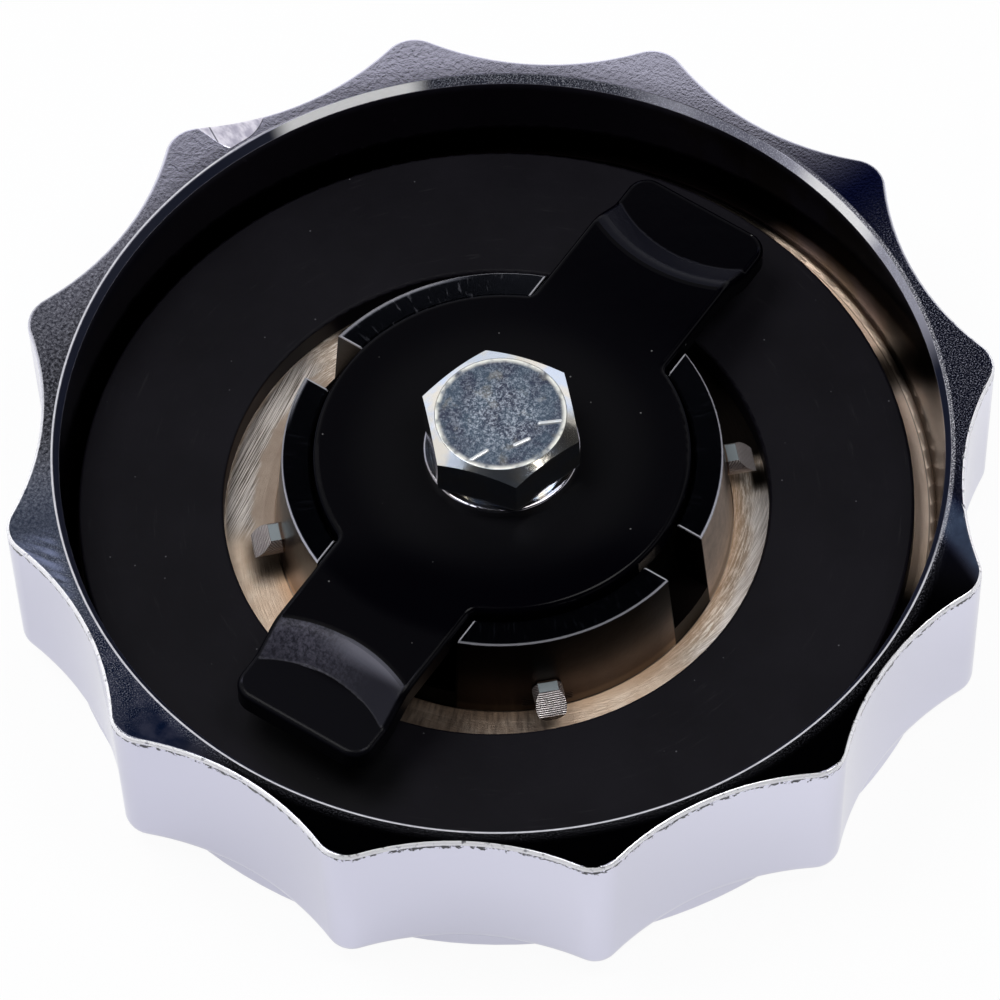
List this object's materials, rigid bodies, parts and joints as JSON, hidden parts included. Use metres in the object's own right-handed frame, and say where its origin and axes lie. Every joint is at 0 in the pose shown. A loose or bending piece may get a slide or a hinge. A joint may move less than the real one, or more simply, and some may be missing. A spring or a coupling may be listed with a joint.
{
  "type": "fuel filler cap",
  "caption": "Chrome-plated fluted fuel filler cap shown latch side up: a flat gasket in a round recess and a bolted two-armed latch bar in a slotted boss ring.",
  "frame": {"origin": "centre of the flat crown face, the outer face of the cap, on which it lies", "axes": "+Z along the cap's axis, from the crown face to the bolt head; +X along one arm of the latch bar; the cap is the same when turned half a turn about Z, apart from the gasket's small shift and the turn of the bolt head"},
  "size_m": [0.0968, 0.0968, 0.028],
  "materials": {
    "cap_casting": "bright chrome plate on a die casting, thin inside the recess, with a machined seat",
    "gasket": "matt black moulded rubber",
    "latch_bar": "satin black coating on pressed steel",
    "washer": "bright zinc plate",
    "hex_bolt": "bright zinc plate with a speckled end face"
  },
  "bodies": {
    "root": {"cap_casting": "cap_casting", "gasket": "gasket", "latch_bar": "latch_bar", "washer": "washer", "hex_bolt": "hex_bolt"}
  },
  "joints": []
}
